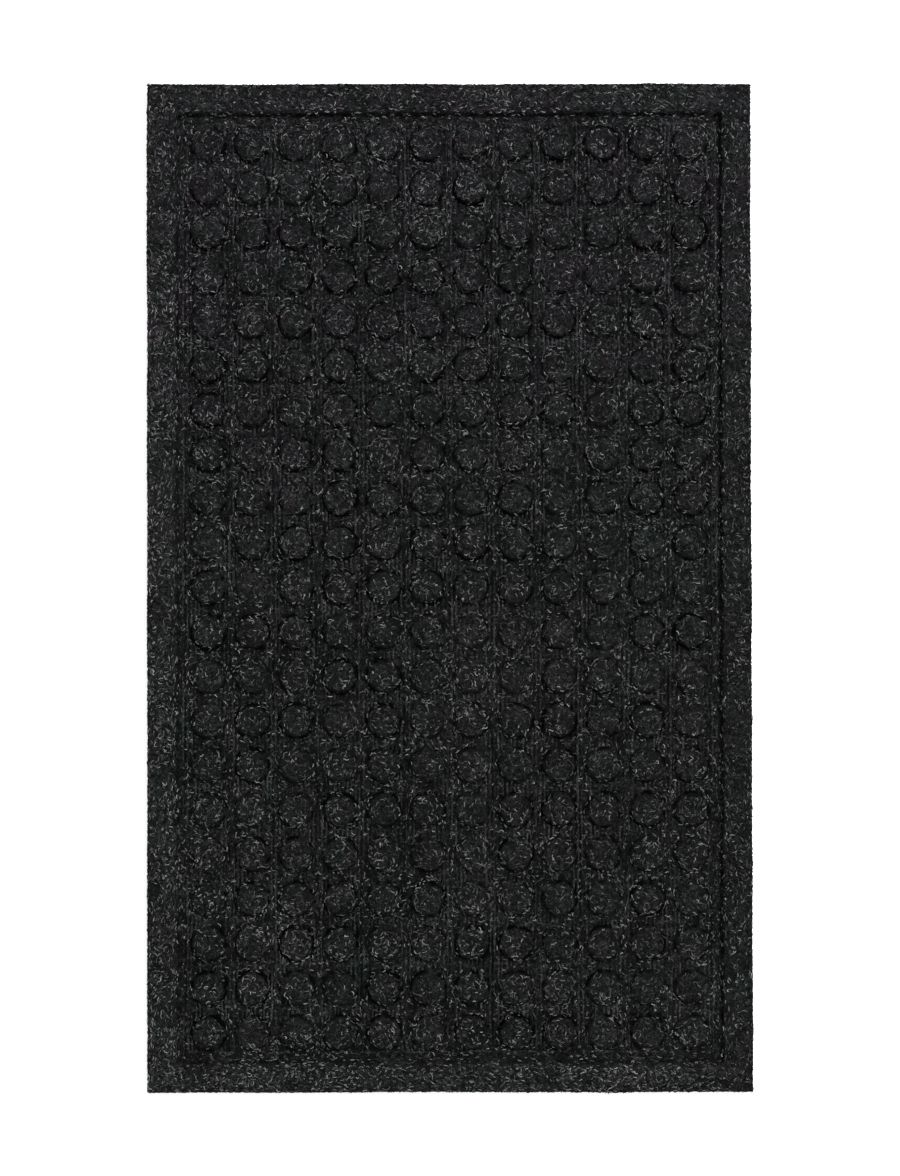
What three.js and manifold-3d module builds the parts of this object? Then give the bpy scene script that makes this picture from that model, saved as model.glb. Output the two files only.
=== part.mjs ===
// A rectangular door mat, lying flat: a needle-punched felt face pressed into round bosses inside a
// raised border, bonded over a woven scrim to a moulded rubber backing. Units are millimetres, +Z is
// up, and the origin is on the floor under the middle of the mat. X is its width and Y its length.
import * as THREE from 'three';
import { mergeVertices } from 'three/addons/utils/BufferGeometryUtils.js';
import Module from 'manifold-3d';

const wasm = await Module();
wasm.setup();

// The whole mat: a standard 18 by 30 inch size, 3/8 inch thick.
const matWidth = 457.2;
const matLength = 762;

// The layers, from the floor up.
const gripDepth = 1.2;
const backingSheet = 2.2;
const filmThickness = 0.3;
const scrimThickness = 0.4;
const feltThickness = 5.4;

// The relief pressed into the felt. The field lies lower than the border and the boss tops.
const fieldDepth = 2.7;
const borderWidth = 21.5;
const borderSlope = 3.6;
const beadInset = 28.2;
const beadWidth = 2.2;
const beadHeight = 0.6;

// The round bosses stand in straight columns and rows.
const bossColumns = 12;
const bossRows = 21;
const sideMargin = 46.3;
const endMargin = 44.9;
const bossFootRadius = 14.2;
const bossTopRadius = 10.9;
const bossSides = 8;

// The rubber's underside: a rim all round, and one grip pad below each boss.
const rimWidth = 12;
const padRadius = 6.2;
const padSides = 6;

// Solids that are joined run this far into each other, so that they share a volume and not a face.
const overlap = 0.5;

const columnPitch = (matWidth - 2 * sideMargin) / (bossColumns - 1);
const rowPitch = (matLength - 2 * endMargin) / (bossRows - 1);

// The height where each layer starts.
const backingBase = 0;
const filmBase = gripDepth + backingSheet;
const scrimBase = filmBase + filmThickness;
const feltBase = scrimBase + scrimThickness;
const fieldHeight = feltThickness - fieldDepth;

const solidOf = (geometry) => {
  const bare = geometry.clone();
  bare.deleteAttribute('normal');
  bare.deleteAttribute('uv');
  const merged = mergeVertices(bare);
  return new wasm.Manifold(new wasm.Mesh({
    numProp: 3,
    vertProperties: new Float32Array(merged.attributes.position.array),
    triVerts: new Uint32Array(merged.index.array),
  }));
};

const geometryOf = (solid) => {
  const mesh = solid.getMesh();
  const geometry = new THREE.BufferGeometry();
  geometry.setAttribute('position', new THREE.BufferAttribute(mesh.vertProperties, 3));
  geometry.setIndex(new THREE.BufferAttribute(mesh.triVerts, 1));
  geometry.computeVertexNormals();
  return geometry;
};

// A block centred on the origin in X and Y, between two heights.
const block = (width, length, low, high) => {
  const geometry = new THREE.BoxGeometry(width, length, high - low);
  geometry.translate(0, 0, (low + high) / 2);
  return geometry;
};

// A block whose top is wider than its foot by flare on every side.
const flaredBlock = (width, length, low, high, flare) => {
  const geometry = block(width, length, low, high);
  const corners = geometry.attributes.position;
  for (let i = 0; i < corners.count; i += 1) {
    if (corners.getZ(i) > (low + high) / 2) {
      corners.setX(i, corners.getX(i) + Math.sign(corners.getX(i)) * flare);
      corners.setY(i, corners.getY(i) + Math.sign(corners.getY(i)) * flare);
    }
  }
  return geometry;
};

// A rectangular ring that starts inset from the mat's edge and is ringWidth wide.
const ring = (inset, ringWidth, low, high) => {
  const outer = solidOf(block(matWidth - 2 * inset, matLength - 2 * inset, low, high));
  const inside = 2 * (inset + ringWidth);
  const hole = block(matWidth - inside, matLength - inside, low - overlap, high + overlap);
  return outer.subtract(solidOf(hole));
};

// A round stud standing upright, tapered from its foot to its top, with flats for its round wall.
const stud = (footRadius, topRadius, sides, low, high) => {
  const geometry = new THREE.CylinderGeometry(topRadius, footRadius, high - low, sides);
  geometry.rotateX(Math.PI / 2);
  geometry.rotateZ(Math.PI / sides);
  geometry.translate(0, 0, (low + high) / 2);
  return solidOf(geometry);
};

// Adds one copy of the stud to the body at each place of the boss grid.
const addGrid = (body, copy) => {
  let joined = body;
  for (let column = 0; column < bossColumns; column += 1) {
    for (let row = 0; row < bossRows; row += 1) {
      const x = (column - (bossColumns - 1) / 2) * columnPitch;
      const y = (row - (bossRows - 1) / 2) * rowPitch;
      joined = joined.add(copy.translate([x, y, 0]));
    }
  }
  return joined;
};

// The pocket that sinks the field below the border, with sloped walls.
const fieldPocket = () => {
  const low = 2 * (borderWidth + borderSlope);
  const flare = borderSlope * (1 + overlap / fieldDepth);
  return solidOf(flaredBlock(
    matWidth - low, matLength - low, fieldHeight, feltThickness + overlap, flare,
  ));
};

const feltGeometry = () => {
  const sheet = solidOf(block(matWidth, matLength, 0, feltThickness)).subtract(fieldPocket());
  const beadLow = fieldHeight - overlap;
  const bead = ring(beadInset, beadWidth, beadLow, fieldHeight + beadHeight);
  // The boss cone starts below the field, so its foot is widened to keep its radius at the field.
  const lean = (bossFootRadius - bossTopRadius) / fieldDepth * overlap;
  const boss = stud(bossFootRadius + lean, bossTopRadius, bossSides, beadLow, feltThickness);
  return geometryOf(addGrid(sheet.add(bead), boss));
};

const backingGeometry = () => {
  const sheet = solidOf(block(matWidth, matLength, gripDepth, gripDepth + backingSheet));
  const rim = ring(0, rimWidth, 0, gripDepth + overlap);
  const pad = stud(padRadius, padRadius, padSides, 0, gripDepth + overlap);
  return geometryOf(addGrid(sheet.add(rim), pad));
};

const finish = (color, roughness) => (
  new THREE.MeshStandardMaterial({ color, roughness, metalness: 0, flatShading: true })
);

const layer = (name, geometry, material, base) => {
  const mesh = new THREE.Mesh(geometry, material);
  mesh.name = name;
  mesh.position.z = base;
  return mesh;
};

const group = new THREE.Group();
group.add(
  layer('rubber_backing', backingGeometry(), finish(0x151617, 0.8), backingBase),
  layer('bond_film', block(matWidth, matLength, 0, filmThickness), finish(0x3a3a38, 0.5), filmBase),
  layer('woven_scrim', block(matWidth, matLength, 0, scrimThickness), finish(0x4a4a47, 0.9), scrimBase),
  layer('face_felt', feltGeometry(), finish(0x2b2c2d, 1), feltBase),
);

export default group;
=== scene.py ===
import math

import bpy
import bmesh
import numpy as np
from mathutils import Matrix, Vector


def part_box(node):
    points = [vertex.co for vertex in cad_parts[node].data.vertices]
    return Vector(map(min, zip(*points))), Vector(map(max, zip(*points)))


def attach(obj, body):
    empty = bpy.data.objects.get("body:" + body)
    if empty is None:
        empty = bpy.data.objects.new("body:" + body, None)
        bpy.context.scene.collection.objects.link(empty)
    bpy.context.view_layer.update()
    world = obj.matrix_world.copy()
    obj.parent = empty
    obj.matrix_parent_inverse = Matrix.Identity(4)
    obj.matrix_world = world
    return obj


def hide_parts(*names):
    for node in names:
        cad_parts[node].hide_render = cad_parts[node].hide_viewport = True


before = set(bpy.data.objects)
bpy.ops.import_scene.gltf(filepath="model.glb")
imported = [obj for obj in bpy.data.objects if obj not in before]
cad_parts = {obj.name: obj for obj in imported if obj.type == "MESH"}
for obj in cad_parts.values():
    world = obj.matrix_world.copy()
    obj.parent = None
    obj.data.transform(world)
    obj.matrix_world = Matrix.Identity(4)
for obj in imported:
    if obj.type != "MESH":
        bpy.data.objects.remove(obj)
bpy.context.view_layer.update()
mm = 0.001

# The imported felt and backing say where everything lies; all that follows is measured from them.
feltLow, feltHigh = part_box("face_felt")
backLow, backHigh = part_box("rubber_backing")
matWidth = feltHigh.x - feltLow.x
matLength = feltHigh.y - feltLow.y

# The boss grid, shared by the felt above and the grip pads below.
bossGrid = {
    "columns": 12,
    "rows": 21,
    "sideMargin": 46.3 * mm,
    "endMargin": 44.9 * mm,
    "weld": 0.1 * mm,
}
columnPitch = (matWidth - 2 * bossGrid["sideMargin"]) / (bossGrid["columns"] - 1)
rowPitch = (matLength - 2 * bossGrid["endMargin"]) / (bossGrid["rows"] - 1)
gridValues = {"Columns": bossGrid["columns"], "Rows": bossGrid["rows"],
              "Column Pitch": columnPitch, "Row Pitch": rowPitch}


def wire(tree, node, wires):
    # wires maps an input's name or number to a value, or to the output that feeds it
    for key, value in wires.items():
        socket = node.inputs[key]
        if isinstance(value, bpy.types.NodeSocket):
            tree.links.new(value, socket)
        else:
            socket.default_value = value


def addNode(tree, kind, wires=None, **settings):
    node = tree.nodes.new(kind)
    for name, value in settings.items():
        setattr(node, name, value)
    wire(tree, node, wires or {})
    return node


def calc(tree, operation, *values):
    node = addNode(tree, "ShaderNodeMath", dict(enumerate(values)), operation=operation)
    return node.outputs[0]


def times(tree, first, second):
    return calc(tree, "MULTIPLY", first, second)


def fromHalf(tree, value):
    return calc(tree, "SUBTRACT", value, 0.5)


def vectorMath(tree, operation, *values):
    return addNode(tree, "ShaderNodeVectorMath", dict(enumerate(values)), operation=operation).outputs[0]


def scaled(tree, vector, share):
    return addNode(tree, "ShaderNodeVectorMath", {0: vector, "Scale": share}, operation="SCALE").outputs[0]


def split(tree, vector):
    return addNode(tree, "ShaderNodeSeparateXYZ", {0: vector}).outputs


def joined(tree, **parts):
    return addNode(tree, "ShaderNodeCombineXYZ", parts).outputs[0]


def noise(tree, place, scale, detail, **more):
    # the first output is a value about 0.5, the second three of them
    wires = {"Vector": place, "Scale": scale, "Detail": detail, **more}
    return addNode(tree, "ShaderNodeTexNoise", wires).outputs


def inverse(tree, size):
    return calc(tree, "DIVIDE", 1.0, size)


def ramp(tree, value, low, high, toLow=0.0, toHigh=1.0):
    # eases from toLow to toHigh as the value goes from low to high
    wires = {"Value": value, "From Min": low, "From Max": high, "To Min": toLow, "To Max": toHigh}
    return addNode(tree, "ShaderNodeMapRange", wires, interpolation_type="SMOOTHSTEP").outputs[0]


def addSockets(tree, direction, sockets):
    # a socket is given by its first value, or by the name of its type where it has none
    typeNames = {float: "Float", int: "Int", tuple: "Vector"}
    for label, first in sockets.items():
        bare = isinstance(first, str)
        typeName = first if bare else typeNames[type(first)]
        socket = tree.interface.new_socket(label, in_out=direction, socket_type="NodeSocket" + typeName)
        if not bare:
            socket.default_value = first


def newGroup(name, kind, inputs, outputs):
    tree = bpy.data.node_groups.new(name, kind)
    addSockets(tree, "INPUT", inputs)
    addSockets(tree, "OUTPUT", outputs)
    return tree, tree.nodes.new("NodeGroupInput").outputs, tree.nodes.new("NodeGroupOutput").inputs


def newGeometryTree(name, inputs):
    return newGroup(name, "GeometryNodeTree", {"Geometry": "Geometry", **inputs}, {"Geometry": "Geometry"})


def runTree(holder, tree, values):
    # runs the tree on the holder's mesh and keeps the result as a plain mesh
    modifier = holder.modifiers.new(tree.name, "NODES")
    modifier.node_group = tree
    for item in tree.interface.items_tree:
        if item.in_out == "INPUT" and item.name in values:
            modifier[item.identifier] = values[item.name]
    bpy.context.view_layer.update()
    evaluated = holder.evaluated_get(bpy.context.evaluated_depsgraph_get())
    plain = bpy.data.meshes.new_from_object(evaluated)
    holder.modifiers.remove(modifier)
    holder.data = plain


def newPiece(name, mesh):
    piece = bpy.data.objects.new(name, mesh)
    bpy.context.scene.collection.objects.link(piece)
    return piece


def dropPiece(piece):
    mesh = piece.data
    bpy.data.objects.remove(piece)
    bpy.data.meshes.remove(mesh)


def smoothAll(mesh):
    mesh.polygons.foreach_set("use_smooth", [True] * len(mesh.polygons))


def fibreTangleGroup():
    # short curled strands: thin bands along the level lines of warped noise, broken up by a second noise
    inputs = {"Position": "Vector", "Curl Size": 3 * mm, "Band": 0.05, "Cover": 0.5, "Layer": 0.0}
    tree, source, target = newGroup("FibreTangle", "ShaderNodeTree", inputs, {"Strands": "Float"})
    moved = vectorMath(tree, "ADD", source["Position"], joined(tree, X=source["Layer"], Z=source["Layer"]))
    fine = inverse(tree, source["Curl Size"])
    warp = noise(tree, moved, fine, 1.0, Distortion=1.6)[0]
    away = calc(tree, "ABSOLUTE", fromHalf(tree, warp))
    line = ramp(tree, away, 0.0, source["Band"], 1.0, 0.0)
    breaks = noise(tree, moved, times(tree, fine, 0.8), 2.0)[0]
    bare, blur = calc(tree, "SUBTRACT", 1.0, source["Cover"]), 0.04
    kept = ramp(tree, breaks, calc(tree, "SUBTRACT", bare, blur), calc(tree, "ADD", bare, blur))
    tree.links.new(times(tree, line, kept), target["Strands"])
    return tree


def patchGroup():
    # slow changes over the surface: lighter and darker patches, and cool or warm ones
    inputs = {"Position": "Vector", "Patch Size": 20 * mm, "Spread": 0.3}
    tree, source, target = newGroup("DyePatches", "ShaderNodeTree", inputs,
                                    {"Shade": "Float", "Warmth": "Float"})
    scale = inverse(tree, source["Patch Size"])
    tone = noise(tree, source["Position"], scale, 4.0, Roughness=0.6)[0]
    shade = calc(tree, "MULTIPLY_ADD", fromHalf(tree, tone), times(tree, source["Spread"], 2.0), 1.0)
    hue = noise(tree, source["Position"], times(tree, scale, 0.45), 3.0)[0]
    tree.links.new(shade, target["Shade"])
    tree.links.new(ramp(tree, hue, 0.38, 0.62), target["Warmth"])
    return tree


fibreTangle = fibreTangleGroup()
dyePatches = patchGroup()


def newMaterial(name):
    material = bpy.data.materials.new(name)
    material.use_nodes = True
    tree = material.node_tree
    shader = tree.nodes["Principled BSDF"]
    place = addNode(tree, "ShaderNodeTexCoord").outputs["Object"]
    return material, tree, shader, place


def bump(tree, height, finish):
    wires = {"Height": height, "Strength": finish["bumpStrength"], "Distance": finish["bumpDepth"]}
    return addNode(tree, "ShaderNodeBump", wires).outputs[0]


def placeGroup(tree, group, wires):
    kind = "GeometryNodeGroup" if tree.bl_idname == "GeometryNodeTree" else "ShaderNodeGroup"
    return addNode(tree, kind, wires, node_tree=group)


def mixColour(tree, factor, first, second, blend="MIX"):
    wires = {0: factor, 6: first, 7: second}
    return addNode(tree, "ShaderNodeMix", wires, data_type="RGBA", blend_type=blend).outputs[2]


view = {
    "height": 0.95,
    "frameWidth": 679.0 * mm,
    "sensor": 36.0,
    "keyPower": 598.0,
    "keySize": 2.4,
    "keyFrom": (3.7, 3.5, 4.3),
    "world": 0.6585,
    "floorReach": 30.0,
    "tilt": 0.27,
    "roll": -0.1,
    "aside": (0.4 * mm, -0.5 * mm),
    "floorGlow": 0.55,
    "floorTone": (0.9, 0.9, 0.9, 1),
    "floorRoughness": 0.8,
    "floorDrop": 0.2 * mm,
    "imageShape": 1176 / 900,
}


def makeView():
    scene = bpy.context.scene
    camera = bpy.data.objects.new("camera", bpy.data.cameras.new("camera"))
    scene.collection.objects.link(camera)
    # the camera hangs straight overhead, a fraction of a degree off square
    tilt, roll = math.radians(view["tilt"]), math.radians(view["roll"])
    camera.rotation_euler = (tilt, 0, roll)
    x, y = view["aside"]
    camera.location = (x, y - view["height"] * math.tan(tilt), feltHigh.z + view["height"])
    frameHeight = view["frameWidth"] * view["imageShape"]
    camera.data.sensor_width = view["sensor"]
    camera.data.lens = view["sensor"] * view["height"] / frameHeight
    camera.data.clip_start = 0.01
    scene.camera = camera

    lamp = bpy.data.lights.new("softKey", "AREA")
    lamp.shape = "DISK"
    lamp.size = view["keySize"]
    lamp.energy = view["keyPower"]
    key = bpy.data.objects.new("softKey", lamp)
    key.location = view["keyFrom"]
    key.rotation_mode = "QUATERNION"
    key.rotation_quaternion = Vector(view["keyFrom"]).to_track_quat("Z", "Y")
    scene.collection.objects.link(key)

    world = bpy.data.worlds.new("studio")
    scene.world = world
    world.use_nodes = True
    white = (1, 1, 1, 1)
    sky = world.node_tree
    wire(sky, sky.nodes["Background"], {"Color": white, "Strength": view["world"]})
    scene.view_settings.view_transform = "Standard"

    floorMesh = bpy.data.meshes.new("floor")
    reach = view["floorReach"]
    corners = [(-reach, -reach, 0), (reach, -reach, 0), (reach, reach, 0), (-reach, reach, 0)]
    floorMesh.from_pydata(corners, [], [(0, 1, 2, 3)])
    floor = newPiece("floor", floorMesh)
    floor.location.z = -view["floorDrop"]
    paint, tree, shader, _ = newMaterial("paleFloor")
    wire(tree, shader, {"Base Color": view["floorTone"], "Roughness": view["floorRoughness"],
                        "Emission Color": white, "Emission Strength": view["floorGlow"]})
    floor.data.materials.append(paint)
    print("camera, light and floor made")


makeView()


felt = {
    "relief": 2.7 * mm,
    "plateau": 7.6 * mm,
    "foot": 14.4 * mm,
    "steepness": 2.7,
    "rings": 8,
    "sides": 24,
    "stepTop": 21.5 * mm,
    "stepFoot": 25.1 * mm,
    "apron": 1.2 * mm,
    "edgeRound": 1.1 * mm,
    "edgeInset": 0.5 * mm,
    "lowestBoss": 0.7,
    "innerRing": 0.55,
    "stepRows": 9,
    "borderRows": (0.84, 0.66, 0.48, 0.3, 0.16),
    "sideRows": (0.66, 0.33, 0.0),
}

fieldLevel = feltHigh.z - felt["relief"]

# every layer was cut together, so all of them waver alike along their edges
cloth = {
    "Half Size": (matWidth / 2, matLength / 2, 0.0),
    "Still Below": feltLow.z,
    "Lump Height": 0.34 * mm,
    "Lump Size": 8 * mm,
    "Waver": 3.0 * mm,
    "Waver Size": 120 * mm,
    "Wobble": 3.4 * mm,
    "Wobble Size": 7 * mm,
    "Held Edge": 6 * mm,
    "Loose Edge": 22 * mm,
    "Still Height": 0.2 * mm,  # above the still level: lumps begin, and are at their full size
    "Lumpy Height": 2.2 * mm,
}
perimeterSteps = (bossGrid["columns"] * felt["sides"] // 4, bossGrid["rows"] * felt["sides"] // 4)


def bossDrop(radius):
    # how far below the boss's top the felt lies at that radius
    reach = (radius - felt["plateau"]) / (felt["foot"] - felt["plateau"])
    t = min(max(reach, 0), 1) ** felt["steepness"]
    return felt["relief"] * t * t * (3 - 2 * t)


def ringOf(mesh, radius, sides, z):
    angles = [math.pi / 4 + 2 * math.pi * i / sides for i in range(sides)]
    return [mesh.verts.new((radius * math.cos(a), radius * math.sin(a), z)) for a in angles]


def bridge(mesh, inner, outer):
    for i in range(len(inner)):
        j = (i + 1) % len(inner)
        mesh.faces.new((inner[i], outer[i], outer[j], inner[j]))


def finishedMesh(mesh, name):
    plain = bpy.data.meshes.new(name)
    mesh.to_mesh(plain)
    mesh.free()
    return plain


def bossTile():
    # one cell of the grid: a round boss in rings, spreading out to the cell's straight edges
    sides, top = felt["sides"], felt["relief"]
    mesh = bmesh.new()
    radii = [felt["plateau"] * felt["innerRing"]]
    radii += list(np.linspace(felt["plateau"], felt["foot"], felt["rings"] - 1))
    loops = [ringOf(mesh, radius, sides, top - bossDrop(radius)) for radius in radii]
    perSide = sides // 4
    corners = [(1, 1), (-1, 1), (-1, -1), (1, -1)]
    edge = []
    for i in range(sides):
        a, b = corners[i // perSide], corners[(i // perSide + 1) % 4]
        t = (i % perSide) / perSide
        x = (a[0] + (b[0] - a[0]) * t) * columnPitch / 2
        y = (a[1] + (b[1] - a[1]) * t) * rowPitch / 2
        edge.append(mesh.verts.new((x, y, 0)))
    loops.append(edge)
    centre = mesh.verts.new((0, 0, top))
    for i in range(sides):
        mesh.faces.new((centre, loops[0][i], loops[0][(i + 1) % sides]))
    for inner, outer in zip(loops, loops[1:]):
        bridge(mesh, inner, outer)
    return newPiece("bossTile", finishedMesh(mesh, "bossTile"))


def rectangleLoop(mesh, halfX, halfY, z):
    across, along = perimeterSteps
    spots = [(-halfX + 2 * halfX * i / across, -halfY) for i in range(across)]
    spots += [(halfX, -halfY + 2 * halfY * i / along) for i in range(along)]
    spots += [(halfX - 2 * halfX * i / across, halfY) for i in range(across)]
    spots += [(-halfX, halfY - 2 * halfY * i / along) for i in range(along)]
    return [mesh.verts.new((x, y, z)) for x, y in spots]


def closeLoop(mesh, loop, up):
    # fills a rectangle's loop with straight strips from its left side to its right
    across, along = perimeterSteps
    left = [loop[0]] + [loop[-i] for i in range(1, along + 1)]
    right = [loop[across + i] for i in range(along + 1)]
    near = tuple(loop[1:across])
    far = tuple(reversed(loop[across + along + 1:2 * across + along]))
    for i in range(along):
        strip = (left[i],) + (near if i == 0 else ()) + (right[i], right[i + 1])
        strip += (tuple(reversed(far)) if i == along - 1 else ()) + (left[i + 1],)
        mesh.faces.new(strip if up else tuple(reversed(strip)))


def sweptLoops(mesh, profile):
    # carries a profile of (inset from the cut edge, height) round the mat's outline
    loops = [rectangleLoop(mesh, matWidth / 2 - inset, matLength / 2 - inset, z) for inset, z in profile]
    for inner, outer in zip(loops, loops[1:]):
        bridge(mesh, inner, outer)
    return loops


def slabMesh(name, profile, closedStart=True):
    # a closed slab: its top, its sides in steps, and its underside
    mesh = bmesh.new()
    loops = sweptLoops(mesh, profile)
    if closedStart:
        closeLoop(mesh, loops[0], up=True)
    closeLoop(mesh, loops[-1], up=False)
    return finishedMesh(mesh, name)


def feltProfile():
    # from the step's foot out over the border, down the cut side and under
    top, low, relief = feltHigh.z, feltLow.z, felt["relief"]
    width, turn = felt["stepFoot"] - felt["stepTop"], felt["edgeRound"]
    points = [(felt["stepFoot"] + felt["apron"], top - relief)]
    for t in np.linspace(0, 1, felt["stepRows"]):
        points.append((felt["stepFoot"] - width * t, top - relief * (1 - t * t * (3 - 2 * t))))
    points += [(felt["stepTop"] * share, top) for share in felt["borderRows"]]
    inset = felt["edgeInset"]
    for angle in np.linspace(0, math.pi / 2, 5):
        points.append((inset + turn * (1 - math.sin(angle)), top - turn * (1 - math.cos(angle))))
    points += [(inset, low + (top - turn - low) * share) for share in felt["sideRows"]]
    return points


def feltBorder():
    # the swept border, joined inwards to the straight outline of the grid of tiles
    mesh = bmesh.new()
    mesh.from_mesh(slabMesh("feltBorder", feltProfile(), closedStart=False))
    mesh.verts.ensure_lookup_table()
    first = mesh.verts[:2 * sum(perimeterSteps)]
    inner = rectangleLoop(mesh, bossGrid["columns"] * columnPitch / 2,
                          bossGrid["rows"] * rowPitch / 2, fieldLevel)
    bridge(mesh, inner, first)
    return finishedMesh(mesh, "feltBorder")


def clothDriftGroup():
    # how far each point of a layer is moved: sideways as the cut edge wavers, up and down in lumps
    tree, source, target = newGroup("ClothDrift", "GeometryNodeTree", cloth, {"Offset": "Vector"})
    here = addNode(tree, "GeometryNodeInputPosition").outputs[0]
    flat = vectorMath(tree, "MULTIPLY", here, (1, 1, 0))
    sway = noise(tree, flat, inverse(tree, source["Waver Size"]), 4.0, Roughness=0.6)[1]
    aside = scaled(tree, vectorMath(tree, "SUBTRACT", sway, (0.5, 0.5, 0.5)), source["Waver"])
    # the relief wobbles more than the outline does, as the hot mould slips on loose cloth
    fromMiddle = vectorMath(tree, "ABSOLUTE", flat)
    inset = split(tree, vectorMath(tree, "SUBTRACT", source["Half Size"], fromMiddle))
    nearest = calc(tree, "MINIMUM", inset["X"], inset["Y"])
    loose = ramp(tree, nearest, source["Held Edge"], source["Loose Edge"])
    wobble = noise(tree, flat, inverse(tree, source["Wobble Size"]), 2.0)[1]
    slip = scaled(tree, vectorMath(tree, "SUBTRACT", wobble, (0.5, 0.5, 0.5)),
                  times(tree, loose, source["Wobble"]))
    both = split(tree, vectorMath(tree, "ADD", aside, slip))
    lumps = noise(tree, flat, inverse(tree, source["Lump Size"]), 3.0, Roughness=0.65)[0]
    height = calc(tree, "SUBTRACT", split(tree, here)["Z"], source["Still Below"])
    above = ramp(tree, height, source["Still Height"], source["Lumpy Height"])
    rise = times(tree, fromHalf(tree, lumps), times(tree, source["Lump Height"], 2.0))
    moved = joined(tree, X=both["X"], Y=both["Y"], Z=times(tree, rise, above))
    tree.links.new(moved, target["Offset"])
    return tree


clothDrift = clothDriftGroup()


def drifted(tree, source, geometry):
    drift = placeGroup(tree, clothDrift, {label: source[label] for label in cloth})
    moved = addNode(tree, "GeometryNodeSetPosition", {"Geometry": geometry, "Offset": drift.outputs[0]})
    return moved.outputs[0]


def madeReal(tree, source, copies):
    # the copies as a mesh of their own, joined to the mesh that came in
    real = addNode(tree, "GeometryNodeRealizeInstances", {"Geometry": copies.outputs[0]})
    whole = addNode(tree, "GeometryNodeJoinGeometry", {0: real.outputs[0]})
    tree.links.new(source["Geometry"], whole.inputs[0])
    return whole.outputs[0]


def finishTree(tree, target, geometry, material):
    real = addNode(tree, "GeometryNodeRealizeInstances", {"Geometry": geometry}).outputs[0]
    done = addNode(tree, "GeometryNodeSetMaterial", {"Geometry": real, "Material": material}).outputs[0]
    tree.links.new(done, target["Geometry"])


def gridReliefTree():
    # sets one copy at each place of the boss grid, some lower, welds them to the sheet and lets it drift
    tree, source, target = newGeometryTree("GridRelief", {
        "Level": 0.0, "Lowest": 1.0, "Seed": 3, "Copy": "Object", "Finish": "Material",
        **gridValues, **cloth})
    spanX = times(tree, calc(tree, "SUBTRACT", source["Columns"], 1.0), source["Column Pitch"])
    spanY = times(tree, calc(tree, "SUBTRACT", source["Rows"], 1.0), source["Row Pitch"])
    places = addNode(tree, "GeometryNodeMeshGrid", {"Size X": spanX, "Size Y": spanY,
                                                    "Vertices X": source["Columns"],
                                                    "Vertices Y": source["Rows"]})
    copy = addNode(tree, "GeometryNodeObjectInfo", {"Object": source["Copy"]})
    raised = addNode(tree, "GeometryNodeSetPosition",
                     {"Geometry": places.outputs["Mesh"], "Offset": joined(tree, Z=source["Level"])})
    chance = addNode(tree, "FunctionNodeRandomValue", {"Seed": source["Seed"]}, data_type="FLOAT")
    tree.links.new(source["Lowest"], chance.inputs[2])
    copies = addNode(tree, "GeometryNodeInstanceOnPoints",
                     {"Points": raised.outputs[0], "Instance": copy.outputs["Geometry"],
                      "Scale": joined(tree, X=1.0, Y=1.0, Z=chance.outputs[1])})
    welded = addNode(tree, "GeometryNodeMergeByDistance",
                     {"Geometry": madeReal(tree, source, copies), "Distance": bossGrid["weld"]})
    finishTree(tree, target, drifted(tree, source, welded.outputs[0]), source["Finish"])
    return tree


gridRelief = gridReliefTree()

# fine ribs pressed along the field, and the low bead that frames them
pressedRibs = {
    "pitch": 3.175 * mm,
    "width": 2.0 * mm,
    "height": 0.42 * mm,
    "rooted": 0.5 * mm,
    "step": 10 * mm,
    "beadInset": 30.2 * mm,
    "fadeSize": 5 * mm,
    "wander": 1.2 * mm,
    "shoulder": (0.72, 0.6),
    "drawnOut": 0.12,
    "fadeBetween": (0.46, 0.65),
    # painted highlight on the rib crests, and painted shade in the valleys between them
    "crestHighlight": -1.9,
    "valleyShade": 0.42,
}
ribField = matWidth - 2 * felt["stepFoot"]
ribCount = int(ribField / pressedRibs["pitch"])


def ribSection(low):
    # half-round, rooted in the cloth: (sideways, height) going round
    half, high, root = pressedRibs["width"] / 2, pressedRibs["height"], pressedRibs["rooted"]
    out, up = pressedRibs["shoulder"]
    return [(half, low - root), (half * out, low + high * up), (0, low + high),
            (-half * out, low + high * up), (-half, low - root)]


def singleRib():
    mesh = bmesh.new()
    section = ribSection(fieldLevel)
    reach = matLength / 2 - pressedRibs["beadInset"]
    steps = round(2 * reach / pressedRibs["step"])
    loops = [[mesh.verts.new((x, -reach + 2 * reach * i / steps, z)) for x, z in section]
             for i in range(steps + 1)]
    for near, far in zip(loops, loops[1:]):
        bridge(mesh, near, far)
    mesh.faces.new(loops[0])
    mesh.faces.new(tuple(reversed(loops[-1])))
    return newPiece("singleRib", finishedMesh(mesh, "singleRib"))


def fieldBead():
    mesh = bmesh.new()
    section = ribSection(fieldLevel)
    loops = sweptLoops(mesh, [(pressedRibs["beadInset"] + x, z) for x, z in section])
    bridge(mesh, loops[-1], loops[0])
    return finishedMesh(mesh, "fieldBead")


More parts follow.
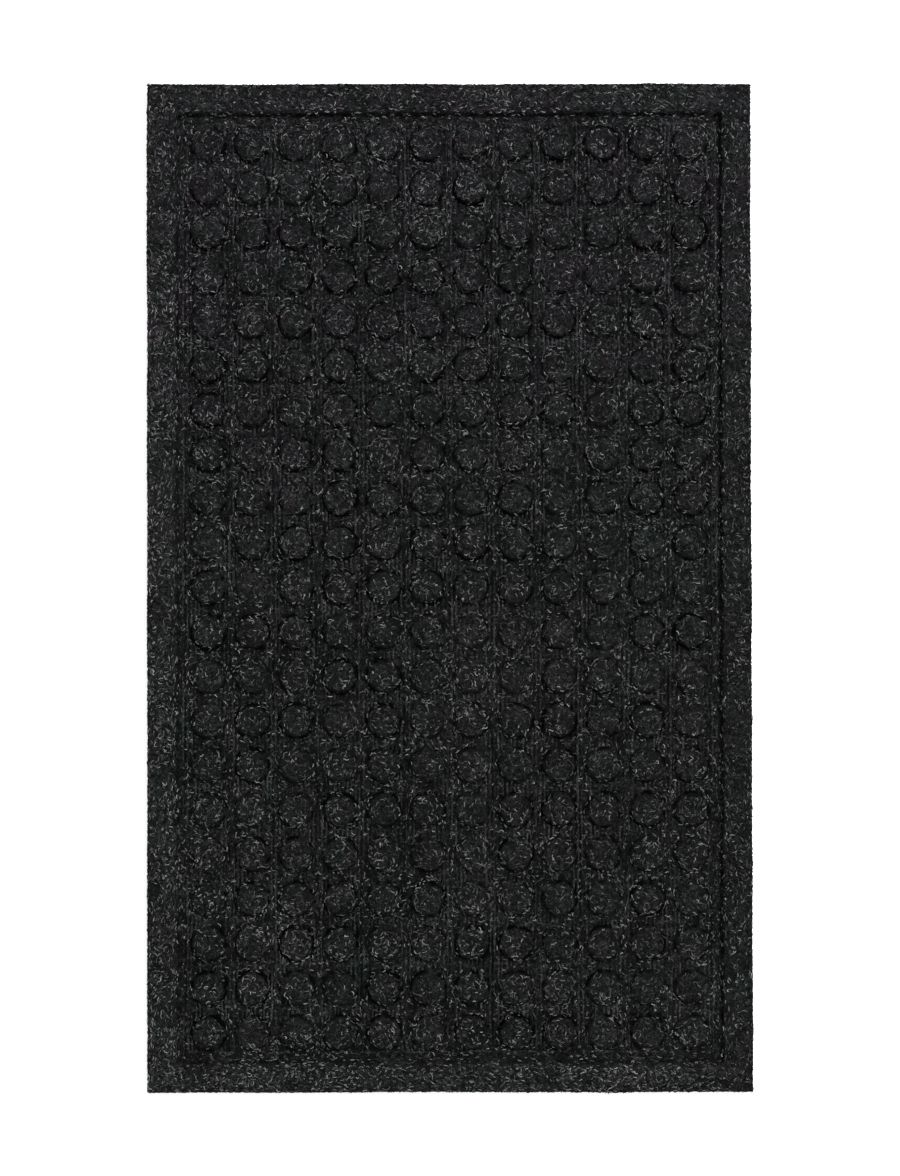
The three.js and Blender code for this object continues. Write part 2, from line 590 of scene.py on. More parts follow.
def pressedRibsTree():
    # sets the ribs side by side, lets each fade and wander, and moves them with the cloth
    tree, source, target = newGeometryTree("PressedRibs", {
        "Rib": "Object", "Count": 10, "Pitch": 3 * mm, "Level": 0.0, "Fade Size": 20 * mm,
        "Wander": 0.4 * mm, "Crest Highlight": -0.5, "Finish": "Material", **cloth})
    span = times(tree, calc(tree, "SUBTRACT", source["Count"], 1.0), source["Pitch"])
    start = joined(tree, X=times(tree, span, -0.5))
    row = addNode(tree, "GeometryNodeMeshLine", {"Count": source["Count"], "Start Location": start,
                                                 "Offset": joined(tree, X=source["Pitch"])})
    rib = addNode(tree, "GeometryNodeObjectInfo", {"Object": source["Rib"]})
    ribs = addNode(tree, "GeometryNodeInstanceOnPoints",
                   {"Points": row.outputs[0], "Instance": rib.outputs["Geometry"]})
    here = addNode(tree, "GeometryNodeInputPosition").outputs[0]
    # noise drawn out along the ribs, so that each one comes and goes on its own
    drawn = vectorMath(tree, "MULTIPLY", here, (1.0, pressedRibs["drawnOut"], 0.0))
    patchy = noise(tree, drawn, inverse(tree, source["Fade Size"]), 2.0)
    kept = ramp(tree, patchy[0], *pressedRibs["fadeBetween"])
    above = calc(tree, "MAXIMUM", calc(tree, "SUBTRACT", split(tree, here)["Z"], source["Level"]), 0.0)
    sink = times(tree, above, calc(tree, "SUBTRACT", kept, 1.0))
    bend = fromHalf(tree, split(tree, patchy[1])["X"])
    shift = joined(tree, X=times(tree, bend, source["Wander"]), Z=sink)
    # painted highlight on the ribs, strongest where a rib stands full height
    marked = addNode(tree, "GeometryNodeStoreNamedAttribute",
                     {"Geometry": madeReal(tree, source, ribs), "Name": "pressed",
                      "Value": times(tree, kept, source["Crest Highlight"])},
                     data_type="FLOAT", domain="POINT")
    uneven = addNode(tree, "GeometryNodeSetPosition", {"Geometry": marked.outputs[0], "Offset": shift})
    finishTree(tree, target, drifted(tree, source, uneven.outputs[0]), source["Finish"])
    return tree


feltFinish = {
    # three tangles of strands: size of the curls, width of a strand, share covered
    "tangles": ((2.6 * mm, 0.05, 0.5), (3.4 * mm, 0.045, 0.42), (1.9 * mm, 0.07, 0.48)),
    "layersApart": 0.37,
    "grainSize": 0.9 * mm,
    "patches": {"Patch Size": 14 * mm, "Spread": 0.9},
    "slowPatches": {"Patch Size": 120 * mm, "Spread": 0.3},
    # noise that varies the painted shade and makes the painted groove lines wander
    "shadeNoiseSize": 6 * mm,
    "shadeVaries": (0.34, 0.6, 0.22, 1.2),  # a ramp's low, high, toLow and toHigh
    "deep": (0.0014, 0.0015, 0.0016, 1),
    "base": (0.0090, 0.0093, 0.0094, 1),
    "strand": (0.032, 0.033, 0.0332, 1),
    "bright": (0.078, 0.080, 0.080, 1),
    "cool": (0.875, 1.04, 0.975, 1),
    "warm": (1.06, 0.96, 1.055, 1),
    # painted shade of grooves between the boss columns
    "grooveHalf": (0.26 * mm, 1.3 * mm),
    "grooveWander": 1.6 * mm,
    "grooveShadeStrength": (0.42, 0.6, 0.0, 0.6),
    "bumpDepth": 0.5 * mm,
    "nearEnd": (0.985, 1.0, 0.94, 1),
    "farEnd": (1.075, 1.0, 1.06, 1),
    "driftFrom": -100 * mm,
    "driftTo": 360 * mm,
    "grooveVaries": (3.7, 12.0),  # from one groove to the next, and along a metre
    "grainEdges": (0.35, 0.65),
    "dimShare": 0.8,
    "brightShare": 0.5,
    "patchTint": 0.8,
    "slowTint": (0.3, 0.35),  # its share, and where it starts
    "darkening": -0.8,
    "darkest": 0.04,
    "grainRelief": 0.6,
    "bumpStrength": 0.7,
    "roughness": 0.95,
    "specular": 0.03,
}


def columnGrooveShade(tree, spot, uneven):
    # painted shade of grooves between the columns of bosses, dark in places and gone in others
    aside = calc(tree, "MULTIPLY_ADD", uneven, feltFinish["grooveWander"], spot["X"])
    columnsAway = calc(tree, "DIVIDE", aside, columnPitch)
    nearest = calc(tree, "ROUND", columnsAway)
    beside = calc(tree, "ABSOLUTE", calc(tree, "SUBTRACT", columnsAway, nearest))
    narrow, wide = feltFinish["grooveHalf"]
    groove = ramp(tree, beside, narrow / columnPitch, wide / columnPitch, 1.0, 0.0)
    fromNext, along = feltFinish["grooveVaries"]
    stretched = joined(tree, X=times(tree, nearest, fromNext), Y=times(tree, spot["Y"], along))
    depth = noise(tree, stretched, 1.0, 2.0)[0]
    band = addNode(tree, "ShaderNodeAttribute", attribute_name="band").outputs["Fac"]
    inField = calc(tree, "SUBTRACT", 1.0, band)
    return times(tree, times(tree, groove, inField), ramp(tree, depth, *feltFinish["grooveShadeStrength"]))


def feltLook():
    material, tree, shader, place = newMaterial("charcoalFelt")
    patches = placeGroup(tree, dyePatches, {"Position": place, **feltFinish["patches"]})
    slow = placeGroup(tree, dyePatches, {"Position": place, **feltFinish["slowPatches"]})
    layers = []
    for number, (curl, band, cover) in enumerate(feltFinish["tangles"]):
        layers.append(placeGroup(tree, fibreTangle, {
            "Position": place, "Curl Size": curl, "Band": band, "Cover": cover,
            "Layer": feltFinish["layersApart"] * (number + 1)}).outputs[0])
    dim = calc(tree, "MAXIMUM", layers[0], layers[2])
    grain = noise(tree, place, 1 / feltFinish["grainSize"], 3.0)[0]
    ground = mixColour(tree, ramp(tree, grain, *feltFinish["grainEdges"]),
                       feltFinish["deep"], feltFinish["base"])
    colour = mixColour(tree, times(tree, dim, feltFinish["dimShare"]), ground, feltFinish["strand"])
    colour = mixColour(tree, times(tree, layers[1], feltFinish["brightShare"]), colour,
                       feltFinish["bright"])
    hue = calc(tree, "MULTIPLY_ADD", fromHalf(tree, patches.outputs["Warmth"]), feltFinish["patchTint"],
               calc(tree, "MULTIPLY_ADD", slow.outputs["Warmth"], *feltFinish["slowTint"]))
    tint = mixColour(tree, hue, feltFinish["cool"], feltFinish["warm"])
    colour = mixColour(tree, 1.0, colour, tint, "MULTIPLY")
    # the dye drifts a little along the length as well
    spot = split(tree, place)
    lengthwise = ramp(tree, spot["Y"], feltFinish["driftFrom"], feltFinish["driftTo"])
    endTint = mixColour(tree, lengthwise, feltFinish["nearEnd"], feltFinish["farEnd"])
    colour = mixColour(tree, 1.0, colour, endTint, "MULTIPLY")
    uneven = noise(tree, place, 1 / feltFinish["shadeNoiseSize"], 2.0)[0]
    # painted light and shade stored on the mesh: darker at the boss feet, step, rib valleys and cut edge,
    # lighter on rib crests, lighter or darker on the borders, varied by a noise
    pressed = addNode(tree, "ShaderNodeAttribute", attribute_name="pressed").outputs["Fac"]
    shadeAmount = times(tree, pressed, ramp(tree, uneven, *feltFinish["shadeVaries"]))
    left = calc(tree, "MAXIMUM", calc(tree, "MULTIPLY_ADD", shadeAmount, feltFinish["darkening"], 1.0),
                feltFinish["darkest"])
    shade = times(tree, patches.outputs["Shade"], slow.outputs["Shade"])
    shade = times(tree, shade, calc(tree, "SUBTRACT", 1.0, columnGrooveShade(tree, spot, uneven)))
    level = times(tree, shade, left)
    shadeColour = addNode(tree, "ShaderNodeCombineColor", {0: level, 1: level, 2: level})
    colour = mixColour(tree, 1.0, colour, shadeColour.outputs[0], "MULTIPLY")
    raised = calc(tree, "MAXIMUM", dim, layers[1])
    relief = calc(tree, "MULTIPLY_ADD", grain, feltFinish["grainRelief"], raised)
    wire(tree, shader, {"Base Color": colour, "Roughness": feltFinish["roughness"],
                        "Specular IOR Level": feltFinish["specular"],
                        "Normal": bump(tree, relief, feltFinish)})
    return material


# painted shade for the felt face: the ring at each boss foot, the step, the rib valleys and the cut edge,
# with lighter or darker tones on the borders
paintedShade = {
    "ringMid": 13.2 * mm,
    "ringHalf": 2.8 * mm,
    "stepHalf": 2.6 * mm,
    "ringShadeStrength": 1.15,
    "lean": -0.02,
    "leanDrift": 0.24,
    "leanAcross": 0.12,
    "ringShadeVaries": (0.7, 1.35),
    "seed": 5,
    "farFuller": 0.32,
    "leftFuller": 0.38,
    "nearFuller": 0.34,
    "rightFuller": -0.2,
    "stepShadeShare": 0.85,
    "ribsFrom": 13.4 * mm,
    "fieldMargin": 2 * mm,
    "cutSideShade": 0.2,
    "faint": 0.2,
    "fullerShare": -0.5,
    "sideFacing": 0.3,
    "shoulderFacing": 0.75,
}

# the share of loose fibres that each part of the face keeps
nap = {
    "onBoss": 0.98,
    "between": 1.13,
    "border": 1.05,
    "bossReach": 11.1 * mm,
    "lostWhereShaded": 0.6,
    "middle": 0.965,
    "outwards": 0.055,
    "slant": 0.04,
}


def paintShadeAndNap(mesh):
    # painted shade at each point, standing in for shadow in the relief's hollows: 1 on the boss walls, in
    # the ring at their foot and on the step
    spots = np.zeros(len(mesh.vertices) * 3)
    mesh.vertices.foreach_get("co", spots)
    x, y, z = spots.reshape(-1, 3).T
    facing = np.zeros(len(mesh.vertices) * 3, np.float32)
    mesh.vertices.foreach_get("normal", facing)
    up = facing.reshape(-1, 3)[:, 2]
    across, along = x / (matWidth / 2), y / (matLength / 2)
    inset = np.minimum(matWidth / 2 - abs(x), matLength / 2 - abs(y))
    inField = inset > matWidth / 2 - bossGrid["columns"] * columnPitch / 2 - paintedShade["fieldMargin"]

    columnAt, rowAt = x / columnPitch + bossGrid["columns"] / 2, y / rowPitch + bossGrid["rows"] / 2
    fromBossX, fromBossY = (columnAt % 1 - 0.5) * columnPitch, (rowAt % 1 - 0.5) * rowPitch
    radius = np.hypot(fromBossX, fromBossY)
    # painted shade in the ring at each boss's foot, where the hollow lies in shadow
    ringShade = np.clip(1 - abs(radius - paintedShade["ringMid"]) / paintedShade["ringHalf"], 0, 1)
    # painted shadow on one side of each ring: darker on the near side at the far end, and the other way at
    # the near end
    sine, cosine = fromBossY / np.maximum(radius, mm), fromBossX / np.maximum(radius, mm)
    lean = (paintedShade["lean"] + paintedShade["leanDrift"] * along) * sine - paintedShade["leanAcross"] * cosine
    # and the painted ring shade differs from boss to boss
    chance = np.random.default_rng(paintedShade["seed"])
    ringShadeVaries = chance.uniform(*paintedShade["ringShadeVaries"], (bossGrid["columns"], bossGrid["rows"]))
    column = np.clip(np.floor(columnAt), 0, bossGrid["columns"] - 1).astype(int)
    row = np.clip(np.floor(rowAt), 0, bossGrid["rows"] - 1).astype(int)
    ringShade *= (paintedShade["ringShadeStrength"] - lean) * ringShadeVaries[column, row]

    stepMid = (felt["stepTop"] + felt["stepFoot"]) / 2
    # painted shade along the step down from the border
    stepShade = np.clip(1 - abs(inset - stepMid) / paintedShade["stepHalf"], 0, 1)
    # the far end has more loose fibres between the bosses, and less painted shade between the ribs
    farEnd = paintedShade["farFuller"] * np.clip(along, 0, 1)
    # painted shade in the valleys between the ribs, away from the bosses and inside the step
    amongRibs = (radius > paintedShade["ribsFrom"]) & (inset > felt["stepFoot"])
    ribValleyShade = np.where(amongRibs, pressedRibs["valleyShade"], 0) * (1 - farEnd)
    # the left and near borders get more loose fibres and a lighter tone than the right one, which gets
    # fewer and a darker tone
    fuller = np.where(x < felt["stepTop"] - matWidth / 2, paintedShade["leftFuller"], 0)
    fuller = np.where(y < felt["stepTop"] - matLength / 2, paintedShade["nearFuller"], fuller)
    fuller = np.where(x > matWidth / 2 - felt["stepTop"], paintedShade["rightFuller"], fuller)
    # painted shade: the boss rings in the field, the step outside it, and the rib valleys
    pressed = np.maximum(np.where(inField, ringShade, stepShade * paintedShade["stepShadeShare"]), ribValleyShade)
    onBorder = (inset < felt["stepTop"]) & (pressed < paintedShade["faint"])
    pressed = np.where(onBorder, paintedShade["fullerShare"] * fuller, pressed)

    between = nap["between"] + farEnd
    kept = np.where(inField, np.where(radius < nap["bossReach"], nap["onBoss"], between),
                    nap["border"] + fuller)
    # fewer loose fibres are kept where shade is painted
    kept *= 1 - nap["lostWhereShaded"] * np.clip(pressed, 0, 1)
    # a little fewer loose fibres in the middle than at the ends and sides
    kept *= nap["middle"] + nap["outwards"] * (across ** 2 + along ** 2) + nap["slant"] * across * along
    upright = up < paintedShade["sideFacing"]
    kept[upright] = 0
    # painted shade on the rounded shoulder of the cut edge, less on its side
    edgeShade = np.clip(1 - (inset - felt["edgeInset"]) / felt["edgeRound"], 0, 1)
    shoulder = np.where(edgeShade > 0, np.maximum(pressed, edgeShade), pressed)
    pressed = np.where(upright, paintedShade["cutSideShade"], shoulder)
    turned = np.where(abs(up) < paintedShade["shoulderFacing"], 1.0, 0.0)
    cut = turned * (inset < felt["edgeInset"] + felt["edgeRound"])
    band = np.where(inField, 0.0, 1.0)
    for name, values in (("pressed", pressed), ("nap", kept), ("cut", cut), ("band", band)):
        layer = mesh.attributes.new(name, "FLOAT", "POINT")
        layer.data.foreach_set("value", values.astype(np.float32))


feltMaterial = feltLook()


def makeFelt():
    tile = bossTile()
    face = newPiece("felt_face", feltBorder())
    runTree(face, gridRelief, {**gridValues, **cloth, "Copy": tile, "Level": fieldLevel,
                               "Lowest": felt["lowestBoss"], "Finish": feltMaterial})
    dropPiece(tile)
    smoothAll(face.data)
    paintShadeAndNap(face.data)
    print("felt face made:", len(face.data.polygons), "faces")
    return face


def makeRibs():
    rib = singleRib()
    piece = newPiece("pressed_ribs", fieldBead())
    runTree(piece, pressedRibsTree(), {
        **cloth, "Rib": rib, "Count": ribCount, "Pitch": pressedRibs["pitch"],
        "Level": fieldLevel, "Fade Size": pressedRibs["fadeSize"],
        "Wander": pressedRibs["wander"], "Crest Highlight": pressedRibs["crestHighlight"], "Finish": feltMaterial,
    })
    dropPiece(rib)
    smoothAll(piece.data)
    print("pressed ribs made:", ribCount, "ribs and a bead")
    return piece


feltFace = makeFelt()
ribs = makeRibs()


# each curl is (share of the length, turn from end to end in degrees, sideways wave, points)
fibreCurls = [(1.0, 50, 0.06, 4), (1.0, -115, 0.0, 4), (0.9, 190, 0.02, 5), (1.25, 24, 0.13, 5),
              (0.95, -70, -0.1, 4), (0.85, -250, 0.0, 5), (0.6, 30, 0.0, 3)]

fibreLots = {
    "white_fibres": {"count": 7800, "length": 2.7, "radius": 0.25, "lift": 0.46, "seed": 11, "clump": 0.9,
                     "where": "nap", "dyes": [(0.20, 0.213, 0.203), (0.27, 0.267, 0.272),
                                              (0.15, 0.160, 0.158)]},
    "pale_fibres": {"count": 9400, "length": 2.8, "radius": 0.24, "lift": 0.42, "seed": 71, "clump": 0.8,
                    "where": "nap", "dyes": [(0.110, 0.122, 0.111), (0.097, 0.093, 0.105),
                                             (0.134, 0.128, 0.128)]},
    "light_fibres": {"count": 9400, "length": 3.0, "radius": 0.23, "lift": 0.38, "seed": 97, "clump": 0.7,
                     "where": "nap", "dyes": [(0.071, 0.082, 0.073), (0.066, 0.060, 0.071),
                                              (0.085, 0.081, 0.080)]},
    "grey_fibres": {"count": 9000, "length": 3.4, "radius": 0.23, "lift": 0.36, "seed": 23, "clump": 0.4,
                    "where": "nap", "dyes": [(0.038, 0.044, 0.039), (0.030, 0.033, 0.033),
                                             (0.039, 0.033, 0.041)]},
    "black_fibres": {"count": 9000, "length": 4.4, "radius": 0.27, "lift": 0.46, "seed": 53, "clump": 0.3,
                     "where": "nap", "dyes": [(0.0013, 0.0014, 0.0014), (0.0018, 0.0018, 0.0018),
                                              (0.0009, 0.0009, 0.0010)]},
    "edge_fuzz": {"count": 6400, "length": 2.2, "radius": 0.17, "lift": 0.4, "seed": 89, "clump": 0.5,
                  "where": "cut", "dyes": [(0.006, 0.006, 0.006), (0.022, 0.023, 0.023),
                                           (0.055, 0.056, 0.056)]},
}


def fibreCurlGroup():
    # one bent fibre lying along X, its two ends tucked into the cloth
    inputs = {"Length": 4 * mm, "Turn": 1.0, "Wave": 0.0, "Lift": 0.4 * mm, "Radius": 0.2 * mm, "Points": 5}
    tree, source, target = newGroup("FibreCurl", "GeometryNodeTree", inputs, {"Geometry": "Geometry"})
    line = addNode(tree, "GeometryNodeCurvePrimitiveLine")
    fine = addNode(tree, "GeometryNodeResampleCurve", {"Curve": line.outputs[0], "Count": source["Points"]})
    along = addNode(tree, "GeometryNodeSplineParameter").outputs["Factor"]
    angle = times(tree, fromHalf(tree, along), source["Turn"])
    bend = calc(tree, "DIVIDE", source["Length"], source["Turn"])
    sway = times(tree, calc(tree, "SINE", times(tree, along, 2 * math.pi)),
                 times(tree, source["Length"], source["Wave"]))
    x = times(tree, bend, calc(tree, "SINE", angle))
    y = calc(tree, "MULTIPLY_ADD", bend, calc(tree, "SUBTRACT", calc(tree, "COSINE", angle), 1.0), sway)
    arch = calc(tree, "SINE", times(tree, along, math.pi))
    z = times(tree, calc(tree, "SUBTRACT", arch, scatter["tucked"]), source["Lift"])
    thick = calc(tree, "MULTIPLY_ADD", arch, 1 - scatter["thinEnds"], scatter["thinEnds"])
    bent = addNode(tree, "GeometryNodeSetPosition",
                   {"Geometry": fine.outputs[0], "Position": joined(tree, X=x, Y=y, Z=z)})
    thin = addNode(tree, "GeometryNodeSetCurveRadius", {"Curve": bent.outputs[0], "Radius": thick})
    ring = addNode(tree, "GeometryNodeCurvePrimitiveCircle", {"Resolution": 3, "Radius": source["Radius"]})
    tube = addNode(tree, "GeometryNodeCurveToMesh",
                   {"Curve": thin.outputs[0], "Profile Curve": ring.outputs[0], "Fill Caps": True})
    tree.links.new(tube.outputs[0], target["Geometry"])
    return tree


# spans and tilts are in radians, grow and rise are shares of a fibre's own size
scatter = {
    "clumpSize": 16 * mm,
    "fieldSpan": math.radians(50),
    "borderSpan": math.radians(24),
    "roll": 0.2,
    "pitch": 0.14,
    "grow": (0.55, 1.4),
    "rise": (0.7, 1.5),
    "tucked": 0.35,
    "thinEnds": 0.5,
    "clumpEdges": (0.36, 0.64),
    "lowestFacing": -0.5,
    "roughness": 0.6,
    "specular": 0.08,
}


def randomNumber(tree, low, high, seed, whole=False):
    node = addNode(tree, "FunctionNodeRandomValue", {"Seed": seed}, data_type="INT" if whole else "FLOAT")
    first = 4 if whole else 2
    node.inputs[first].default_value = low
    node.inputs[first + 1].default_value = high
    return node.outputs[2 if whole else 1]


dyeNames = ["Dye A", "Dye B", "Dye C"]


def looseFibresTree():
    # scatters bent fibres over the cloth in clumps, as many as its nap allows
    tree, source, target = newGeometryTree("LooseFibres", {
        "Density": 10000.0, "Length": 4 * mm, "Radius": 0.2 * mm, "Lift": 0.4 * mm,
        "Clump Size": 10 * mm, "Clumping": 0.5, "Where": "String", "Seed": 1,
        **dict.fromkeys(dyeNames, "Material")})

    def seed(step):
        return calc(tree, "ADD", source["Seed"], float(step))

    def named(label, kind="FLOAT"):
        return addNode(tree, "GeometryNodeInputNamedAttribute", {"Name": label}, data_type=kind).outputs[0]

    here = addNode(tree, "GeometryNodeInputPosition").outputs[0]
    shifted = vectorMath(tree, "ADD", here, joined(tree, X=source["Seed"]))
    clumps = noise(tree, shifted, inverse(tree, source["Clump Size"]), 2.0)[0]
    crowd = calc(tree, "MULTIPLY_ADD", ramp(tree, clumps, *scatter["clumpEdges"], -1.0, 1.0),
                 source["Clumping"], 1.0)
    share = times(tree, crowd, named(source["Where"]))
    density = times(tree, share, source["Density"])
    # none grow on the glued underside
    facing = split(tree, addNode(tree, "GeometryNodeInputNormal").outputs[0])
    upper = calc(tree, "GREATER_THAN", facing["Z"], scatter["lowestFacing"])
    spots = addNode(tree, "GeometryNodeDistributePointsOnFaces",
                    {"Mesh": source["Geometry"], "Selection": upper, "Density": density,
                     "Seed": source["Seed"]})
    curls = addNode(tree, "GeometryNodeJoinGeometry")
    for share, turn, wave, points in reversed(fibreCurls):
        curl = placeGroup(tree, fibreCurl, {
            "Length": times(tree, source["Length"], share), "Turn": math.radians(turn),
            "Wave": wave, "Lift": source["Lift"], "Radius": source["Radius"], "Points": points})
        single = addNode(tree, "GeometryNodeGeometryToInstance", {0: curl.outputs[0]})
        tree.links.new(single.outputs[0], curls.inputs[0])
    # fibres lie nearer to crosswise on the border than in the field
    span = calc(tree, "MULTIPLY_ADD", named("band"), scatter["borderSpan"] - scatter["fieldSpan"],
                scatter["fieldSpan"])
    spin = times(tree, randomNumber(tree, -1.0, 1.0, seed(1)), span)
    half = times(tree, calc(tree, "ROUND", randomNumber(tree, 0.0, 1.0, seed(2))), math.pi)
    turn = joined(tree, X=randomNumber(tree, -scatter["roll"], scatter["roll"], seed(3)),
                  Y=randomNumber(tree, -scatter["pitch"], scatter["pitch"], seed(4)),
                  Z=calc(tree, "ADD", spin, half))
    turned = addNode(tree, "FunctionNodeRotateRotation",
                     {0: spots.outputs["Rotation"], 1: turn}, rotation_space="LOCAL")
    grow = randomNumber(tree, *scatter["grow"], seed(5))
    sized = joined(tree, X=grow, Y=grow, Z=randomNumber(tree, *scatter["rise"], seed(6)))
    whichCurl = randomNumber(tree, 0, len(fibreCurls) - 1, seed(7), whole=True)
    fibres = addNode(tree, "GeometryNodeInstanceOnPoints",
                     {"Points": spots.outputs["Points"], "Instance": curls.outputs[0],
                      "Pick Instance": True, "Instance Index": whichCurl,
                      "Rotation": turned.outputs[0], "Scale": sized})
    whichDye = randomNumber(tree, 0, len(dyeNames) - 1, seed(8), whole=True)
    marked = addNode(tree, "GeometryNodeStoreNamedAttribute",
                     {"Geometry": fibres.outputs[0], "Name": "dye", "Value": whichDye},
                     data_type="INT", domain="INSTANCE")
    shape = addNode(tree, "GeometryNodeRealizeInstances", {"Geometry": marked.outputs[0]}).outputs[0]
    for number, name in enumerate(dyeNames):
        mine = addNode(tree, "FunctionNodeCompare", {2: named("dye", "INT"), 3: number},
                       data_type="INT", operation="EQUAL")
        wires = {"Geometry": shape, "Selection": mine.outputs[0], "Material": source[name]}
        shape = addNode(tree, "GeometryNodeSetMaterial", wires).outputs[0]
    tree.links.new(shape, target["Geometry"])
    return tree


fibreCurl = fibreCurlGroup()
looseFibres = looseFibresTree()


def dyedFibre(name, colour):
    # one dyed fibre is a single colour; the heather look comes from how the dye lots mix
    material, tree, shader, _ = newMaterial(name)
    wire(tree, shader, {"Base Color": (*colour, 1), "Roughness": scatter["roughness"],
                        "Specular IOR Level": scatter["specular"]})
    return material


def makeFibres(name, lot):
    piece = newPiece(name, feltFace.data.copy())
    dyes = [dyedFibre(f"{name}_dye_{letter}", colour) for letter, colour in zip("abc", lot["dyes"])]
    area = matWidth * matLength
    if lot["where"] == "cut":
        area = 2 * (matWidth + matLength) * (feltHigh.z - feltLow.z)
    runTree(piece, looseFibres, {
        "Where": lot["where"], "Density": lot["count"] / area, "Length": lot["length"] * mm,
        "Radius": lot["radius"] * mm, "Lift": lot["lift"] * mm, "Clump Size": scatter["clumpSize"],
        "Clumping": lot["clump"], "Seed": lot["seed"], **dict(zip(dyeNames, dyes)),
    })
    smoothAll(piece.data)
    print(name, "made:", len(piece.data.polygons), "faces")
    return piece


fibrePieces = [makeFibres(name, lot) for name, lot in fibreLots.items()]

backing = {
    "inset": 0.0,
    "round": 0.8 * mm,
    "rimWidth": 12 * mm,
    "gripDepth": 1.2 * mm,
    "padRadius": 6.2 * mm,
    "padSides": 16,
    "rubber": (0.0105, 0.0108, 0.0112, 1),
    "granule": (0.030, 0.0305, 0.031, 1),
    "granuleSize": 1.3 * mm,
    "fineSize": 0.45 * mm,
    "patches": {"Patch Size": 40 * mm, "Spread": 0.5},
    "palerFrom": (0.55, 0.95, 0.0, 0.7),  # a ramp's low, high, toLow and toHigh
    "roughness": (0.3, 0.7, 0.7, 0.95),
    "specular": 0.2,
    "bumpStrength": 0.5,
    "bumpDepth": 0.2 * mm,
}


def rubberLook():
    # crumb rubber, moulded: granules in two sizes, dusty where it has been handled
    material, tree, shader, place = newMaterial("crumbRubber")
    crumbs = addNode(tree, "ShaderNodeTexVoronoi", {"Vector": place, "Scale": 1 / backing["granuleSize"]})
    fine = noise(tree, place, 1 / backing["fineSize"], 2.0)[0]
    patches = placeGroup(tree, dyePatches, {"Position": place, **backing["patches"]})
    paler = addNode(tree, "ShaderNodeSeparateColor", {0: crumbs.outputs["Color"]}).outputs[0]
    amount = times(tree, ramp(tree, paler, *backing["palerFrom"]), patches.outputs["Shade"])
    height = calc(tree, "MULTIPLY_ADD", fine, 0.5, crumbs.outputs["Distance"])
    wire(tree, shader, {"Base Color": mixColour(tree, amount, backing["rubber"], backing["granule"]),
                        "Roughness": ramp(tree, fine, *backing["roughness"]),
                        "Specular IOR Level": backing["specular"],
                        "Normal": bump(tree, height, backing)})
    return material


def gripPad():
    mesh = bmesh.new()
    root, foot, radius = backLow.z + backing["gripDepth"] * 1.2, backLow.z, backing["padRadius"]
    turn = backing["round"] / 2
    outline = [(radius, root), (radius, foot + turn), (radius - turn * 0.3, foot + turn * 0.3),
               (radius - turn, foot)]
    loops = [ringOf(mesh, r, backing["padSides"], z) for r, z in outline]
    for upper, lower in zip(loops, loops[1:]):
        bridge(mesh, upper, lower)
    mesh.faces.new(loops[0])
    mesh.faces.new(tuple(reversed(loops[-1])))
    return newPiece("gripPad", finishedMesh(mesh, "gripPad"))


def backingProfile():
    # from the top edge down the cut side, round under the rim and up to the recessed underside
    inset, turn, rim = backing["inset"], backing["round"], backing["rimWidth"]
    low, high, roof = backLow.z, backHigh.z, backLow.z + backing["gripDepth"]
    points = [(inset, high), (inset, (high + low) / 2)]
    for angle in np.linspace(0, math.pi / 2, 4):
        points.append((inset + turn * (1 - math.cos(angle)), low + turn * (1 - math.sin(angle))))
    points += [(rim - turn * 0.5, low), (rim, low + turn * 0.5)]
    points += [(rim, roof - turn * 0.3), (rim + turn * 0.3, roof)]
    return points


def makeBacking():
    pad = gripPad()
    piece = newPiece("grip_backing", slabMesh("gripBacking", backingProfile()))
    runTree(piece, gridRelief, {**gridValues, **cloth, "Copy": pad, "Finish": rubberLook()})
    dropPiece(pad)
    print("rubber backing made:", len(piece.data.polygons), "faces")
    return piece


scrim = {
    "inset": 0.6 * mm,
    "threadPitch": 1.1 * mm,
    "thread": (0.062, 0.061, 0.057, 1),
    "gap": (0.010, 0.010, 0.010, 1),
    "patches": {"Patch Size": 25 * mm, "Spread": 0.4},
    "crossing": (-0.3, 0.3),
    "threadEdges": (0.1, 0.8),
    "roughness": 0.9,
    "specular": 0.1,
    "bumpStrength": 0.6,
    "bumpDepth": 0.15 * mm,
}


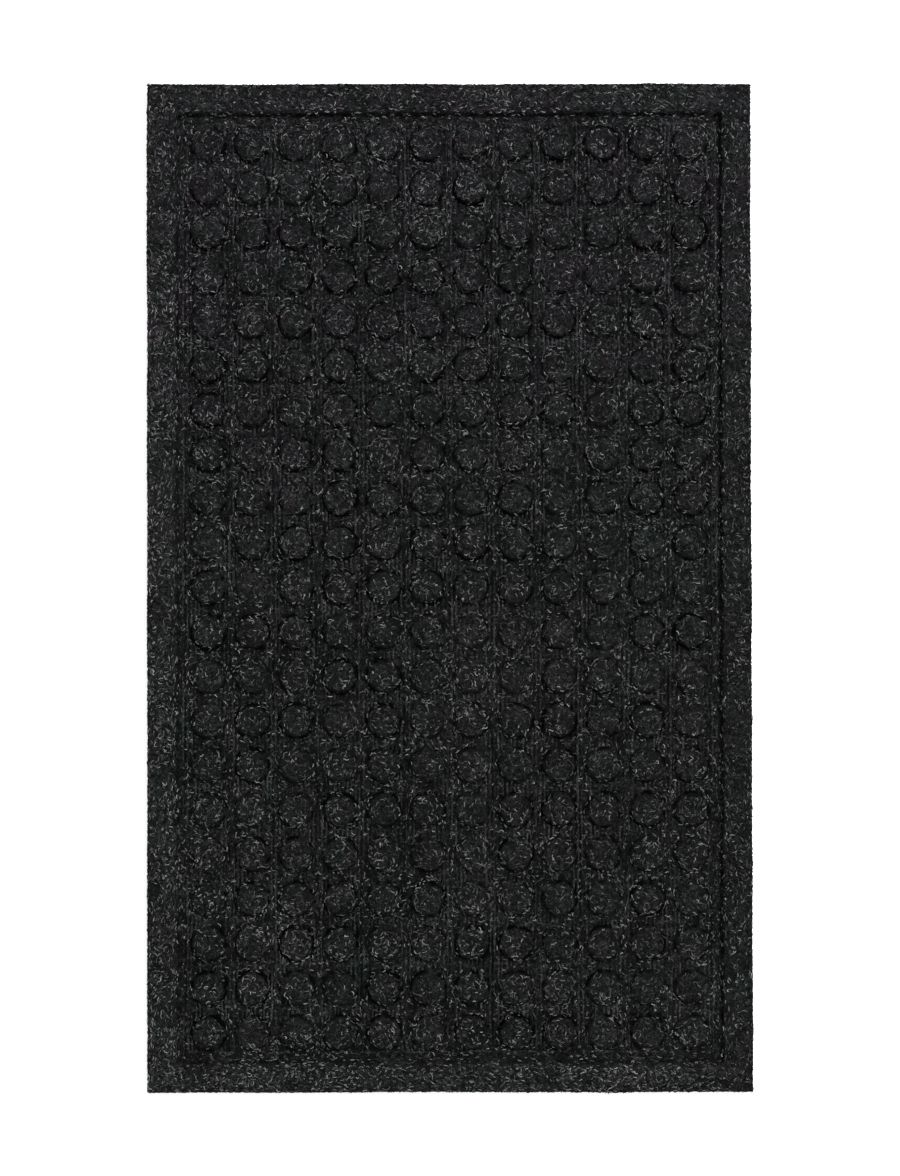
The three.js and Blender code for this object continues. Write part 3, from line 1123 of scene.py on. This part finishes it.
def weaveLook():
    # plain weave: warp and weft threads passing over each other by turns
    material, tree, shader, place = newMaterial("openWeave")
    parts = split(tree, place)
    wave = math.pi / scrim["threadPitch"]
    warp = calc(tree, "SINE", times(tree, parts["X"], wave))
    weft = calc(tree, "SINE", times(tree, parts["Y"], wave))
    over = ramp(tree, times(tree, warp, weft), *scrim["crossing"])
    warpHigh = times(tree, calc(tree, "ABSOLUTE", warp), over)
    weftHigh = times(tree, calc(tree, "ABSOLUTE", weft), calc(tree, "SUBTRACT", 1.0, over))
    height = calc(tree, "ADD", warpHigh, weftHigh)
    patches = placeGroup(tree, dyePatches, {"Position": place, **scrim["patches"]})
    amount = times(tree, ramp(tree, height, *scrim["threadEdges"]), patches.outputs["Shade"])
    wire(tree, shader, {"Base Color": mixColour(tree, amount, scrim["gap"], scrim["thread"]),
                        "Roughness": scrim["roughness"], "Specular IOR Level": scrim["specular"],
                        "Normal": bump(tree, height, scrim)})
    return material


def driftTree():
    tree, source, target = newGeometryTree("DriftWithCloth", {"Finish": "Material", **cloth})
    finishTree(tree, target, drifted(tree, source, source["Geometry"]), source["Finish"])
    return tree


def makeScrim():
    low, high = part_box("woven_scrim")
    profile = [(scrim["inset"], high.z), (scrim["inset"], low.z)]
    piece = newPiece("scrim_weave", slabMesh("scrimWeave", profile))
    runTree(piece, driftTree(), {**cloth, "Finish": weaveLook()})
    print("scrim made")
    return piece


film = {
    "smearSize": 5 * mm,
    "thin": (0.021, 0.0205, 0.020, 1),
    "thick": (0.040, 0.039, 0.037, 1),
    "thicker": (0.35, 0.65),
    "roughness": (0.3, 0.7, 0.45, 0.7),
    "bumpStrength": 0.3,
    "bumpDepth": 0.3 * mm,
}


def filmLook():
    # melted adhesive: smeared, slightly blistered, a little shiny
    material, tree, shader, place = newMaterial("meltedFilm")
    smear = noise(tree, place, 1 / film["smearSize"], 4.0, Distortion=1.2)[0]
    colour = mixColour(tree, ramp(tree, smear, *film["thicker"]), film["thin"], film["thick"])
    wire(tree, shader, {"Base Color": colour, "Roughness": ramp(tree, smear, *film["roughness"]),
                        "Normal": bump(tree, smear, film)})
    return material


rubber = makeBacking()
weave = makeScrim()
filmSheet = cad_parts["bond_film"]
filmSheet.data.materials.clear()
filmSheet.data.materials.append(filmLook())
print("adhesive film finished")

for piece in [feltFace, ribs] + fibrePieces:
    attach(piece, "root")
    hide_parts("face_felt")
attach(weave, "root")
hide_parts("woven_scrim")
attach(rubber, "root")
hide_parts("rubber_backing")
